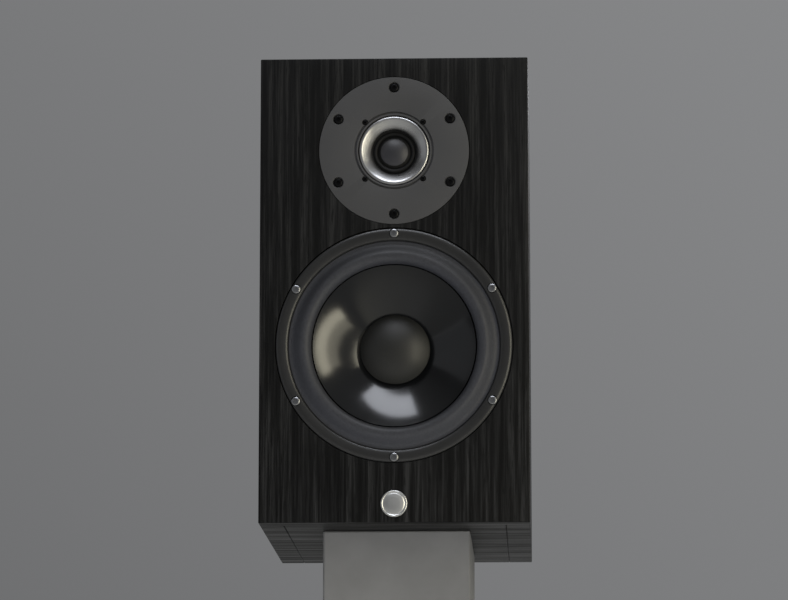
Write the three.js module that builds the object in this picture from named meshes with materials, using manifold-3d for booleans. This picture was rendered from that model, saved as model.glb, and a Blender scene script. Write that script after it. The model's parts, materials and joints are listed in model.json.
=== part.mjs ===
// Two-way bookshelf loudspeaker: a veneered box with a dome tweeter, a cone woofer,
// a reflex port and one pair of binding posts at the back, and a crossover inside.
//
// Millimetres. +Z is up, the baffle faces -Y, and the origin is the middle of the underside.

import * as THREE from 'three';
import { mergeVertices } from 'three/addons/utils/BufferGeometryUtils.js';
import Module from 'manifold-3d';

const wasm = await Module();
wasm.setup();

// ---- driving dimensions ----

const cabinetWidth = 200;
const cabinetDepth = 270;
const cabinetHeight = 350;
const boardThickness = 18;

const wooferHeight = 132.5;
const tweeterHeight = 279.5;
const portHeight = 270;
const terminalHeight = 100;
const badgeHeight = 14;
const braceHeight = 216;

const wooferFlangeRadius = 88;
const wooferFlangeThickness = 4.6;
const wooferGasketThickness = 0.8;
const wooferOpeningRadius = 80;
const wooferScrewCircle = 84;
const coneRadius = 60.5;
const coneNeckRadius = 17.3;
const coneThickness = 1.2;
const dustCapRadius = 26;
const dustCapRise = 8;
const surroundMiddleRadius = 67.5;
const surroundRollRadius = 5.9;
const coilRadius = 16.9;

const tweeterPlateRadius = 56;
const tweeterPlateThickness = 4;
const tweeterOpeningRadius = 39;
const tweeterScrewCircle = 48.2;
const flareRadius = 26.5;
const domeRadius = 12.3;
const domeRise = 4.4;

const portBoreRadius = 25;
const portLength = 110;
const postSpacing = 28;
const postRadius = 3;

const clearance = 0.3;
const driverSegments = 36;
const motorSegments = 28;
const smallSegments = 16;
const screwSegments = 8;
const domeSteps = 4;

// ---- places that follow from them ----

const front = -cabinetDepth / 2;
const back = cabinetDepth / 2;
const halfWidth = cabinetWidth / 2;
const innerHalfWidth = halfWidth - boardThickness;
const innerFront = front + boardThickness;
const innerBack = back - boardThickness;
const innerTop = cabinetHeight - boardThickness;

// ---- materials ----

const finish = (color, roughness, metalness = 0) =>
  new THREE.MeshStandardMaterial({ color, roughness, metalness });

const finishes = {
  veneer: finish(0x201f1d, 0.5),
  fibreboard: finish(0x6b5540, 0.9),
  wadding: finish(0xb9bab5, 1),
  castFrame: finish(0x2c2c2b, 0.45, 0.2),
  rubber: finish(0x1c1d1f, 0.5),
  cone: finish(0x0d0e12, 0.15),
  dustCap: finish(0x2a2a29, 0.7),
  facePlate: finish(0x464644, 0.6, 0.3),
  polishedRing: finish(0xd2d2d2, 0.15, 1),
  silk: finish(0x232326, 0.8),
  copper: finish(0xa86a3c, 0.35, 1),
  steel: finish(0x9a9b9c, 0.35, 1),
  ferrite: finish(0x2b2b2d, 0.8),
  spiderCloth: finish(0xb7863c, 0.9),
  blackScrew: finish(0x1a1a1a, 0.4, 0.8),
  brightScrew: finish(0x8e8f90, 0.35, 0.9),
  badge: finish(0xb4b4b4, 0.3, 1),
  blackPlastic: finish(0x1b1b1c, 0.5),
  redPlastic: finish(0xa01c1c, 0.4),
  brass: finish(0xb8923e, 0.3, 1),
  circuitBoard: finish(0x1e5232, 0.5),
  ceramic: finish(0xd8d4c6, 0.8),
  capacitorFilm: finish(0xc9a227, 0.4),
  redCable: finish(0x9c1f1f, 0.5),
  blackCable: finish(0x1c1c1c, 0.5),
};

// ---- solids ----

// Shared vertices merged, empty faces dropped, and the faces turned to point outwards.
function closed(geometry) {
  const bare = geometry.clone();
  bare.deleteAttribute('normal');
  bare.deleteAttribute('uv');
  const merged = mergeVertices(bare, 1e-4);
  const place = merged.attributes.position;
  const corners = merged.index.array;
  const kept = [];
  const [a, b, c] = [new THREE.Vector3(), new THREE.Vector3(), new THREE.Vector3()];
  let volume = 0;
  for (let i = 0; i < corners.length; i += 3) {
    const [p, q, r] = corners.slice(i, i + 3);
    if (p === q || q === r || r === p) continue;
    a.fromBufferAttribute(place, p);
    b.fromBufferAttribute(place, q);
    c.fromBufferAttribute(place, r);
    volume += a.dot(b.cross(c));
    kept.push(p, q, r);
  }
  if (volume < 0) kept.reverse();
  merged.setIndex(kept);
  return merged;
}

function toManifold(geometry) {
  const solid = closed(geometry);
  return new wasm.Manifold(new wasm.Mesh({
    numProp: 3,
    vertProperties: new Float32Array(solid.attributes.position.array),
    triVerts: new Uint32Array(solid.index.array),
  }));
}

function fromManifold(manifold) {
  const mesh = manifold.getMesh();
  const geometry = new THREE.BufferGeometry();
  geometry.setAttribute('position', new THREE.BufferAttribute(mesh.vertProperties, 3));
  geometry.setIndex(new THREE.BufferAttribute(mesh.triVerts, 1));
  return geometry;
}

function cut(base, tools) {
  let solid = toManifold(base);
  for (const tool of tools) solid = solid.subtract(toManifold(tool));
  return fromManifold(solid);
}

function join(first, others) {
  let solid = toManifold(first);
  for (const other of others) solid = solid.add(toManifold(other));
  return fromManifold(solid);
}

function box([x0, x1], [y0, y1], [z0, z1]) {
  const geometry = new THREE.BoxGeometry(x1 - x0, y1 - y0, z1 - z0);
  return geometry.translate((x0 + x1) / 2, (y0 + y1) / 2, (z0 + z1) / 2);
}

// A profile of [radius, y] points turned about a line along Y through (x, z).
// A profile that doesn't touch the line is a ring, so it closes on itself.
function turned(profile, segments = driverSegments, [x, z] = [0, 0]) {
  const points = profile.map(([radius, y]) => new THREE.Vector2(radius, y));
  if (profile[0][0] > 0) points.push(points[0].clone());
  return closed(new THREE.LatheGeometry(points, segments)).translate(x, 0, z);
}

function rod(radius, [y0, y1], place = [0, 0], segments = smallSegments) {
  return turned([[0, y0], [radius, y0], [radius, y1], [0, y1]], segments, place);
}

function ring([inner, outer], [y0, y1], place = [0, 0], segments = driverSegments) {
  return turned([[inner, y0], [outer, y0], [outer, y1], [inner, y1]], segments, place);
}

// A flat outline in X and Z, given a thickness along Y.
function slab(outline, [y0, y1], holes = []) {
  const shape = outline instanceof THREE.Shape ? outline : new THREE.Shape(outline);
  shape.holes.push(...holes);
  const geometry = new THREE.ExtrudeGeometry(shape, {
    depth: y1 - y0,
    bevelEnabled: false,
    curveSegments: 6,
  });
  return closed(geometry.rotateX(Math.PI / 2).translate(0, y1, 0));
}

function roundedRectangle(width, height, radius, [x, z] = [0, 0]) {
  const [w, h] = [width / 2 - radius, height / 2 - radius];
  const shape = new THREE.Shape();
  shape.absarc(x + w, z + h, radius, 0, Math.PI / 2);
  shape.absarc(x - w, z + h, radius, Math.PI / 2, Math.PI);
  shape.absarc(x - w, z - h, radius, Math.PI, Math.PI * 1.5);
  shape.absarc(x + w, z - h, radius, Math.PI * 1.5, Math.PI * 2);
  shape.closePath();
  return shape;
}

// A round wire along a smooth curve through the points.
function wire(points, radius, steps) {
  const section = new THREE.Shape().absarc(0, 0, radius, 0, Math.PI * 2);
  return closed(new THREE.ExtrudeGeometry(section, {
    steps,
    curveSegments: 3,
    extrudePath: new THREE.CatmullRomCurve3(points.map((p) => new THREE.Vector3(...p))),
  }));
}

// An arc of [radius, y] points about (middle, base), from one angle to another, in degrees.
function arc([middle, base], radius, [from, to], steps) {
  return Array.from({ length: steps + 1 }, (_, i) => {
    const angle = THREE.MathUtils.degToRad(from + ((to - from) * i) / steps);
    return [middle + radius * Math.cos(angle), base - radius * Math.sin(angle)];
  });
}

// The six places of a driver's screws, about the driver's own middle.
function screwPlaces(circle) {
  return [90, 30, -30, -90, -150, 150].map((degrees) => {
    const angle = THREE.MathUtils.degToRad(degrees);
    return [circle * Math.cos(angle), circle * Math.sin(angle)];
  });
}

const raised = ([x, z], height) => [x, z + height];

// ---- the scene graph ----

const speaker = new THREE.Group();
const cabinet = new THREE.Group();
const tweeter = new THREE.Group();
const woofer = new THREE.Group();
const rear = new THREE.Group();
const crossover = new THREE.Group();
tweeter.position.z = tweeterHeight;
woofer.position.z = wooferHeight;
speaker.add(cabinet, tweeter, woofer, rear, crossover);

function add(group, name, geometry, material) {
  const mesh = new THREE.Mesh(geometry, material);
  mesh.name = name;
  mesh.geometry.computeVertexNormals();
  group.add(mesh);
  return mesh;
}

// ---- cabinet ----

const wooferScrews = screwPlaces(wooferScrewCircle);
const tweeterScrews = screwPlaces(tweeterScrewCircle);
const pilotEnd = front + 16.8;
const wooferPilotRadius = 2.1;
const tweeterPilotRadius = 1.8;
const overshoot = 1;

function frontBaffle() {
  const wooferMiddle = [0, wooferHeight];
  const tweeterMiddle = [0, tweeterHeight];
  const wooferRebate = front + wooferFlangeThickness + wooferGasketThickness;
  const tweeterRebate = front + tweeterPlateThickness;
  const through = [front - overshoot, innerFront + overshoot];
  const pilot = (radius, height) => (place) =>
    rod(radius, [front - overshoot, pilotEnd], raised(place, height), screwSegments);
  return cut(box([-halfWidth, halfWidth], [front, innerFront], [0, cabinetHeight]), [
    rod(wooferOpeningRadius, through, wooferMiddle, driverSegments),
    rod(wooferFlangeRadius + 0.4, [front - overshoot, wooferRebate], wooferMiddle, driverSegments),
    rod(tweeterOpeningRadius, through, tweeterMiddle, driverSegments),
    rod(tweeterPlateRadius + 0.4, [front - overshoot, tweeterRebate], tweeterMiddle,
      driverSegments),
    ...wooferScrews.map(pilot(wooferPilotRadius, wooferHeight)),
    ...tweeterScrews.map(pilot(tweeterPilotRadius, tweeterHeight)),
  ]);
}

const portHoleRadius = 37;
const terminalHole = [84, 50];

function backPanel() {
  const panel = box([-innerHalfWidth, innerHalfWidth], [innerBack, back],
    [boardThickness, innerTop]);
  const through = [innerBack - overshoot, back + overshoot];
  return cut(panel, [
    rod(portHoleRadius, through, [0, portHeight], motorSegments),
    slab(roundedRectangle(...terminalHole, 6, [0, terminalHeight]), through),
  ]);
}

const braceThickness = 12;
const braceWindow = [104, 160];

function brace() {
  const shelf = box([-innerHalfWidth, innerHalfWidth], [innerFront, innerBack],
    [braceHeight, braceHeight + braceThickness]);
  const opening = new THREE.ExtrudeGeometry(roundedRectangle(...braceWindow, 20), {
    depth: braceThickness + 2 * overshoot,
    bevelEnabled: false,
    curveSegments: 6,
  });
  return cut(shelf, [opening.translate(0, 0, braceHeight - overshoot)]);
}

const side = [innerFront, back];
const liningThickness = 12;
const sideLining = [[-100, 96], [26, 206]];
const rearLining = [[-62, 62], [150, 208]];

add(cabinet, 'front_baffle', frontBaffle(), finishes.veneer);
add(cabinet, 'left_side', box([-halfWidth, -innerHalfWidth], side, [0, cabinetHeight]),
  finishes.veneer);
add(cabinet, 'right_side', box([innerHalfWidth, halfWidth], side, [0, cabinetHeight]),
  finishes.veneer);
add(cabinet, 'top_panel', box([-innerHalfWidth, innerHalfWidth], side,
  [innerTop, cabinetHeight]), finishes.veneer);
add(cabinet, 'bottom_panel', box([-innerHalfWidth, innerHalfWidth], side,
  [0, boardThickness]), finishes.veneer);
add(cabinet, 'back_panel', backPanel(), finishes.veneer);
add(cabinet, 'brace', brace(), finishes.fibreboard);
add(cabinet, 'left_lining',
  box([-innerHalfWidth, -innerHalfWidth + liningThickness], ...sideLining), finishes.wadding);
add(cabinet, 'right_lining',
  box([innerHalfWidth - liningThickness, innerHalfWidth], ...sideLining), finishes.wadding);
add(cabinet, 'rear_lining',
  box(rearLining[0], [innerBack - liningThickness, innerBack], rearLining[1]), finishes.wadding);
add(cabinet, 'badge', turned([
  [0, front - 1.8], [5, front - 1.6], [8.4, front - 1.1], [10, front - 0.4], [10, front],
  [0, front],
], motorSegments, [0, badgeHeight]), finishes.badge);

// ---- tweeter ----

const faceBack = front + 9;
const motorFront = faceBack;
const tweeterPlateEnd = motorFront + 4;
const tweeterMagnetEnd = tweeterPlateEnd + 10;
const tweeterYokeEnd = tweeterMagnetEnd + 4;
const tweeterCupEnd = tweeterYokeEnd + 20;

function facePlate() {
  const groove = [28.2, 29.6];
  const grooveFloor = front + 0.9;
  const bossRadius = tweeterOpeningRadius - 0.5;
  const plate = turned([
    [flareRadius + clearance, front], [groove[0], front], [groove[0], grooveFloor],
    [groove[1], grooveFloor], [groove[1], front], [tweeterPlateRadius, front],
    [tweeterPlateRadius, front + tweeterPlateThickness],
    [bossRadius, front + tweeterPlateThickness], [bossRadius, faceBack],
    [flareRadius + clearance, faceBack],
  ]);
  return cut(plate, tweeterScrews.flatMap((place) => [
    rod(4, [front - overshoot, front + 2.2], place, screwSegments),
    rod(tweeterPilotRadius, [front - overshoot, front + 6], place, screwSegments),
  ]));
}

function flaredRing() {
  const throatRadius = 17;
  const flareEnd = front + 6.6;
  return turned([
    [flareRadius, front + 0.5], [25.8, front - 0.2], [24.8, front], [22.6, front + 1.2],
    [20.4, front + 2.8], [18.4, front + 4.6], [throatRadius, flareEnd],
    [throatRadius, front + 7.9], [flareRadius, front + 7.9],
  ]);
}

function tweeterDome() {
  const base = front + 9;
  const shell = 0.6;
  const curve = (domeRadius ** 2 + domeRise ** 2) / (2 * domeRise);
  const middle = base - domeRise + curve;
  const edge = THREE.MathUtils.radToDeg(Math.acos(domeRadius / curve));
  const outside = arc([0, middle], curve, [90, edge], domeSteps);
  const inside = arc([0, middle], curve - shell, [edge + 1.5, 90], domeSteps);
  outside[0][0] = 0;
  inside[domeSteps][0] = 0;
  return turned([...outside, ...inside], motorSegments);
}

function tweeterSurround() {
  const [middle, rollRadius, shell, base] = [14.2, 1.5, 0.4, front + 8.6];
  return turned([
    ...arc([middle, base], rollRadius, [180, 0], 3),
    [24, base - 0.3], [24, base + 0.1],
    ...arc([middle, base + 0.1], rollRadius - shell, [0, 180], 3),
    [middle - rollRadius, base + 0.1],
  ], motorSegments);
}

function tweeterYoke() {
  const [poleRadius, ventRadius] = [11.6, 4];
  return turned([
    [ventRadius, motorFront + 0.8], [poleRadius, motorFront + 0.8],
    [poleRadius, tweeterMagnetEnd], [33, tweeterMagnetEnd], [33, tweeterYokeEnd],
    [ventRadius, tweeterYokeEnd],
  ], motorSegments);
}

function tweeterRearCup() {
  const [outer, wall] = [31, 2];
  return turned([
    [0, tweeterCupEnd], [outer - wall, tweeterCupEnd], [outer, tweeterCupEnd - wall],
    [outer, tweeterYokeEnd], [outer - wall, tweeterYokeEnd],
    [outer - wall, tweeterCupEnd - wall], [0, tweeterCupEnd - wall],
  ], motorSegments);
}

// A machine-made screw with a hexagon socket: flat head, plain shank.
function screw([headRadius, shankRadius], [headTop, seat, tip], socketRadius) {
  const blank = turned([
    [0, headTop], [headRadius * 0.8, headTop], [headRadius, headTop + 0.5],
    [headRadius, seat], [shankRadius, seat], [shankRadius, tip - 1.5], [0, tip],
  ], screwSegments);
  return cut(blank, [rod(socketRadius, [headTop - overshoot, headTop + 1.1], [0, 0], 6)]);
}

add(tweeter, 'tweeter_faceplate', facePlate(), finishes.facePlate);
add(tweeter, 'tweeter_ring', flaredRing(), finishes.polishedRing);
add(tweeter, 'tweeter_dome', tweeterDome(), finishes.silk);
add(tweeter, 'tweeter_surround', tweeterSurround(), finishes.silk);
add(tweeter, 'tweeter_voice_coil',
  ring([12.1, 12.9], [motorFront + clearance, motorFront + 4.6], [0, 0], motorSegments), finishes.copper);
add(tweeter, 'tweeter_top_plate', ring([13.5, 36], [motorFront, tweeterPlateEnd], [0, 0], motorSegments),
  finishes.steel);
add(tweeter, 'tweeter_magnet',
  ring([17, 34], [tweeterPlateEnd, tweeterMagnetEnd], [0, 0], motorSegments), finishes.ferrite);
add(tweeter, 'tweeter_yoke', tweeterYoke(), finishes.steel);
add(tweeter, 'tweeter_rear_cup', tweeterRearCup(), finishes.blackPlastic);
tweeterScrews.forEach(([x, z], i) => {
  const body = screw([3.3, 1.4], [front + 0.6, front + 2.2, front + 16], 1.5);
  const mesh = add(tweeter, `tweeter_screw_${i + 1}`, body, finishes.blackScrew);
  mesh.position.set(x, 0, z);
});

// ---- woofer ----

const ledge = front + 3.2;
const flangeBack = front + wooferFlangeThickness;
const basketFloor = front + 52.5;
const basketEnd = front + 56;
const spiderSeat = front + 45;
const topPlateEnd = basketEnd + 6;
const magnetEnd = topPlateEnd + 18;
const yokeEnd = magnetEnd + 6;

function wooferFrame() {
  const ledgeInner = 72.6;
  const flangeInner = 78.4;
  const [necks, seatInner, floorInner] = [[53, 57.5, 79.4], 46, 30];
  const bowl = turned([
    [ledgeInner, ledge], [flangeInner, ledge], [flangeInner, front + 0.8],
    [80.4, front - 0.5], [84, front - 0.9], [86.8, front - 0.4],
    [wooferFlangeRadius, front + 1], [wooferFlangeRadius, flangeBack], [necks[2], flangeBack],
    [necks[2], front + 10], [necks[1], front + 44], [necks[0], front + 51],
    [necks[0], basketEnd], [floorInner, basketEnd], [floorInner, basketFloor],
    [seatInner, basketFloor], [seatInner, spiderSeat], [52, spiderSeat],
    [52, front + 42], [ledgeInner, front + 10],
  ]);
  const spokes = 6;
  const spokeHalfAngle = 0.14;
  const windows = Array.from({ length: spokes }, (_, i) => {
    const start = (Math.PI * 2 * i) / spokes + spokeHalfAngle;
    const end = (Math.PI * 2 * (i + 1)) / spokes - spokeHalfAngle;
    const sector = new THREE.Shape();
    sector.absarc(0, 0, 84, start, end);
    sector.absarc(0, 0, 53.6, end, start, true);
    sector.closePath();
    return slab(sector, [front + 13, front + 43]);
  });
  const holes = wooferScrews.flatMap((place) => [
    rod(3.7, [front - 2, front + 1.2], place, screwSegments),
    rod(wooferPilotRadius, [front - 2, flangeBack + overshoot], place, screwSegments),
  ]);
  return cut(bowl, [...windows, ...holes]);
}

function wooferGasket() {
  const gasket = ring([80.4, 87.6], [flangeBack, flangeBack + wooferGasketThickness]);
  const reach = [flangeBack - overshoot, flangeBack + wooferGasketThickness + overshoot];
  return cut(gasket, wooferScrews.map((place) => rod(wooferPilotRadius, reach, place, screwSegments)));
}

// Half-roll of rubber: the outer lip is glued to the frame's ledge, the inner lip to the cone.
function wooferSurround() {
  const shell = 1;
  const middle = [surroundMiddleRadius, front + 2.2];
  const inner = surroundMiddleRadius - surroundRollRadius;
  return turned([
    [inner, front + 4.2], ...arc(middle, surroundRollRadius, [180, 0], 6),
    [78.1, front + 2.1], [78.1, ledge],
    ...arc([middle[0], ledge], surroundRollRadius - shell, [0, 180], 4),
    [inner + shell, front + 4.2],
  ]);
}

// The cone's front, as a depth behind the baffle's face at a radius: it steepens inwards.
function coneDepth(radius) {
  const inwards = coneRadius - radius;
  return 3.6 + 0.42 * inwards + 0.0045 * inwards ** 2;
}

function wooferCone() {
  const steps = 5;
  const radii = Array.from({ length: steps + 1 }, (_, i) =>
    coneRadius + ((coneNeckRadius - coneRadius) * i) / steps);
  const frontSide = radii.map((radius) => [radius, front + coneDepth(radius)]);
  const backSide = frontSide.map(([radius, y]) => [radius, y + coneThickness]).reverse();
  return turned([...frontSide, ...backSide]);
}

function dustCap() {
  const shell = 1;
  const base = front + coneDepth(dustCapRadius) - clearance;
  const curve = (dustCapRadius ** 2 + dustCapRise ** 2) / (2 * dustCapRise);
  const middle = base - dustCapRise + curve;
  const edge = THREE.MathUtils.radToDeg(Math.acos(dustCapRadius / curve));
  const outside = arc([0, middle], curve, [90, edge], domeSteps);
  const inside = arc([0, middle], curve - shell, [edge + 0.8, 90], domeSteps);
  outside[0][0] = 0;
  inside[domeSteps][0] = 0;
  return turned([...outside, ...inside], motorSegments);
}

// Corrugated cloth disc that centres the coil.
function spider() {
  const [innerRadius, outerRadius] = [coilRadius + clearance + 0.3, 51.5];
  const [waves, height, thickness] = [2, 1.5, 0.8];
  const rest = spiderSeat - thickness;
  const steps = waves * 4;
  const rollEnd = 45;
  const frontSide = Array.from({ length: steps + 1 }, (_, i) => {
    const radius = innerRadius + ((rollEnd - innerRadius) * i) / steps;
    return [radius, rest - height * Math.sin((Math.PI * 2 * waves * i) / steps)];
  });
  frontSide.push([outerRadius, rest]);
  const backSide = frontSide.map(([radius, y]) => [radius, y + thickness]).reverse();
  return turned([...frontSide, ...backSide], motorSegments);
}

function wooferYoke() {
  const [poleRadius, ventRadius, plateRadius] = [15.6, 6, 50];
  return turned([
    [ventRadius, basketEnd - 1], [poleRadius, basketEnd - 1], [poleRadius, magnetEnd],
    [plateRadius, magnetEnd], [plateRadius, yokeEnd], [ventRadius, yokeEnd],
  ], motorSegments);
}

add(woofer, 'woofer_frame', wooferFrame(), finishes.castFrame);
add(woofer, 'woofer_gasket', wooferGasket(), finishes.rubber);
add(woofer, 'woofer_surround', wooferSurround(), finishes.rubber);
add(woofer, 'woofer_cone', wooferCone(), finishes.cone);
add(woofer, 'woofer_dust_cap', dustCap(), finishes.dustCap);
add(woofer, 'woofer_voice_coil', turned([
  [coilRadius - 0.7, front + coneDepth(coneNeckRadius) - 1],
  [coilRadius, front + coneDepth(coneNeckRadius) - 1], [coilRadius, basketEnd - 3],
  [coilRadius + 0.6, basketEnd - 3], [coilRadius + 0.6, topPlateEnd + 3],
  [coilRadius - 0.7, topPlateEnd + 3],
], motorSegments), finishes.copper);
add(woofer, 'woofer_spider', spider(), finishes.spiderCloth);
add(woofer, 'woofer_top_plate', ring([18.1, 50], [basketEnd, topPlateEnd], [0, 0], motorSegments),
  finishes.steel);
add(woofer, 'woofer_magnet', ring([24, 52], [topPlateEnd, magnetEnd], [0, 0], motorSegments),
  finishes.ferrite);
add(woofer, 'woofer_yoke', wooferYoke(), finishes.steel);
wooferScrews.forEach(([x, z], i) => {
  const body = screw([3.3, 1.8], [front - 0.9, front + 1.2, front + 16], 1.5);
  const mesh = add(woofer, `woofer_screw_${i + 1}`, body, finishes.brightScrew);
  mesh.position.set(x, 0, z);
});

// ---- reflex port and terminals ----

function portTube() {
  const wall = 2.5;
  const outerRadius = portBoreRadius + wall;
  const flangeBackFace = back + 2.5;
  const portFront = flangeBackFace - portLength;
  const mouth = 10;
  return turned([
    [portBoreRadius + mouth, flangeBackFace],
    [portBoreRadius + 5.2, flangeBackFace - 2.4], [portBoreRadius + 1.7, flangeBackFace - 7.4],
    [portBoreRadius, flangeBackFace - 15], [portBoreRadius, portFront + 14],
    [portBoreRadius + 2.2, portFront + 6], [portBoreRadius + 8, portFront],
    [portBoreRadius + 9.6, portFront + 1.6], [portBoreRadius + 5.4, portFront + 6.4],
    [outerRadius, portFront + 16], [outerRadius, innerBack],
    [portHoleRadius - 0.6, back - 2], [portHoleRadius - 0.6, back], [42, back],
    [42, back + 1.4], [40.8, flangeBackFace],
  ], motorSegments, [0, portHeight]);
}

const plateBack = back + 3;
const postPlaces = { red: [postSpacing / 2, terminalHeight], black: [-postSpacing / 2, terminalHeight] };
const collarEnd = plateBack + 2;
const washerEnd = collarEnd + 1.5;
const knobLength = 16;
const postEnd = washerEnd + 15;

function terminalPlate() {
  const cover = slab(roundedRectangle(104, 70, 9, [0, terminalHeight]), [back, plateBack]);
  const plug = slab(
    roundedRectangle(terminalHole[0] - 1, terminalHole[1] - 1, 5.5, [0, terminalHeight]),
    [back - 4, back + 1]);
  const reach = [back - 5, plateBack + overshoot];
  const holes = Object.values(postPlaces).map((place) => rod(4.3, reach, place));
  return cut(join(cover, [plug]), holes);
}

// Threaded post with an insulating collar outside, a solder tail inside,
// and a cross hole for bare wire.
function bindingPost([x, z]) {
  const collarRadius = 7.6;
  const tailEnd = back - 14;
  const post = turned([
    [0, tailEnd], [2.4, tailEnd], [2.4, back - 6], [4, back - 6], [4, plateBack],
    [collarRadius, plateBack], [collarRadius, collarEnd], [postRadius, collarEnd],
    [postRadius, postEnd - 0.6], [postRadius - 0.6, postEnd], [2.1, postEnd],
    [2.1, postEnd - 9], [0, postEnd - 9],
  ], smallSegments);
  const crossHole = new THREE.CylinderGeometry(1.5, 1.5, 3 * postRadius, 10);
  crossHole.rotateX(Math.PI / 2).translate(0, washerEnd + 2.4, 0);
  return cut(post, [crossHole]).translate(x, 0, z);
}

// Round knob with grip flutes, bored through for the post.
function postKnob([x, z]) {
  const [gripRadius, fluteDepth, flutes, boreRadius] = [7.4, 0.7, 12, postRadius + clearance];
  const outline = Array.from({ length: flutes * 4 }, (_, i) => {
    const angle = (Math.PI * 2 * i) / (flutes * 4);
    const radius = i % 4 < 2 ? gripRadius : gripRadius - fluteDepth;
    return new THREE.Vector2(radius * Math.cos(angle), radius * Math.sin(angle));
  });
  const body = slab(outline, [washerEnd, washerEnd + knobLength]);
  return cut(body, [rod(boreRadius, [washerEnd - 1, washerEnd + knobLength + 1], [0, 0])])
    .translate(x, 0, z);
}

add(rear, 'port_tube', portTube(), finishes.blackPlastic);
add(rear, 'terminal_plate', terminalPlate(), finishes.blackPlastic);
for (const [colour, place] of Object.entries(postPlaces)) {
  const plastic = colour === 'red' ? finishes.redPlastic : finishes.blackPlastic;
  add(rear, `${colour}_post`, bindingPost(place), finishes.brass);
  add(rear, `${colour}_clamp_washer`,
    ring([postRadius + clearance, 6.6], [collarEnd, washerEnd], place, smallSegments), finishes.brass);
  add(rear, `${colour}_knob`, postKnob(place), plastic);
}

// ---- crossover ----

const boardTop = boardThickness + 6.6;
const boardArea = [[-56, 56], [-24, 72]];

function crossoverBoard() {
  const sheet = box(...boardArea, [boardTop - 1.6, boardTop]);
  const feet = [[-48, -16], [48, -16], [-48, 64], [48, 64]].map(([x, y]) =>
    box([x - 4, x + 4], [y - 4, y + 4], [boardThickness, boardTop - 1]));
  return join(sheet, feet);
}

// A flat wound coil with its hole upright.
function uprightCoil([inner, outer], height, [x, y]) {
  return ring([inner, outer], [0, height], [0, 0], motorSegments).rotateX(Math.PI / 2)
    .translate(x, y, boardTop);
}

// A flat wound coil that stands on its rim, with its hole along Y.
function standingCoil([inner, outer], width, [x, y]) {
  return ring([inner, outer], [y, y + width], [x, boardTop + outer + clearance],
    motorSegments);
}

function canAlongX(radius, length, [x, y]) {
  return rod(radius, [0, length]).rotateZ(-Math.PI / 2)
    .translate(x, y, boardTop + radius + clearance);
}

add(crossover, 'crossover_board', crossoverBoard(), finishes.circuitBoard);
add(crossover, 'bass_inductor', uprightCoil([10, 22], 18, [-28, 4]), finishes.copper);
add(crossover, 'treble_inductor', standingCoil([7, 15], 14, [30, -18]), finishes.copper);
add(crossover, 'bass_capacitor', canAlongX(9, 40, [-48, 42]), finishes.capacitorFilm);
add(crossover, 'treble_capacitor', canAlongX(7.5, 34, [6, 22]), finishes.capacitorFilm);
add(crossover, 'resistor', box([4, 50], [44, 53.5], [boardTop, boardTop + 9.5]),
  finishes.ceramic);

// ---- internal wiring ----

const leadRadius = 1.7;
const [redX, blackX] = [postPlaces.red[0], postPlaces.black[0]];
const tailFace = back - 14.3;
const leads = {
  woofer_lead: [[
    [44, -20, boardTop + 3], [46, -34, boardTop + 7], [47, -52, 42], [44, -70, 58],
    [36, -84, 72], [30, -91, 80],
  ], finishes.blackCable],
  tweeter_lead: [[
    [-50, 20, boardTop + 3], [-57, 16, 40], [-60, 18, 80], [-60, 22, 140], [-54, 24, 190],
    [-44, 20, 222], [-42, 4, 252], [-41, -30, 272], [-40, -66, 279], [-36, -98, 279.5],
  ], finishes.redCable],
  input_lead_red: [[
    [redX, tailFace, terminalHeight], [redX, tailFace - 9, terminalHeight - 2],
    [redX + 1, 102, 84], [redX, 98, 60], [redX - 2, 88, 38], [redX - 2, 70, boardTop + 4],
  ], finishes.redCable],
  input_lead_black: [[
    [blackX, tailFace, terminalHeight], [blackX, tailFace - 9, terminalHeight - 2],
    [blackX - 1, 102, 84], [blackX, 98, 60], [blackX + 2, 88, 38],
    [blackX + 2, 70, boardTop + 4],
  ], finishes.blackCable],
};
for (const [name, [route, material]] of Object.entries(leads)) {
  add(crossover, name, wire(route, leadRadius, route.length * 3), material);
}

export default speaker;
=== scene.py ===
import json
import math

import bmesh
import bpy
import numpy as np
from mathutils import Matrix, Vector


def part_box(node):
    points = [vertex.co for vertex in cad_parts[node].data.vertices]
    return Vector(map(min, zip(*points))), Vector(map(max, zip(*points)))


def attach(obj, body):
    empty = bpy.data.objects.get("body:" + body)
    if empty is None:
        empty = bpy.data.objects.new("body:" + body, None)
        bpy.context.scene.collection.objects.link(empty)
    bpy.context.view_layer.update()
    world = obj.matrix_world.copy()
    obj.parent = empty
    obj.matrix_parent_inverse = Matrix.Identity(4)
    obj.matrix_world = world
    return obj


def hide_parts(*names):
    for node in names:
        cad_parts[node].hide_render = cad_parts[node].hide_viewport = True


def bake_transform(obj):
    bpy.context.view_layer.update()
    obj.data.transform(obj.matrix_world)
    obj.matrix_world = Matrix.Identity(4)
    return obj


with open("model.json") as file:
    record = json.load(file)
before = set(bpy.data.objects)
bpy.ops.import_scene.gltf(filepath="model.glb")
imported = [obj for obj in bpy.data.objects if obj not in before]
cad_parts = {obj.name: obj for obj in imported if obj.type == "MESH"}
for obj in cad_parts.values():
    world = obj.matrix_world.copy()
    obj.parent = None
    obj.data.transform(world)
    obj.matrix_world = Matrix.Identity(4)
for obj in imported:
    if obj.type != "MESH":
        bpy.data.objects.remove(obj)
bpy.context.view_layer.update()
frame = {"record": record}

mm = 0.001
record = frame["record"]
bodyOf = {node: body for body, nodes in record["behaviour"]["bodies"].items() for node in nodes}


def middle(node):  # centre of a CAD node's box
    low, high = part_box(node)
    return (low + high) / 2


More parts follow.
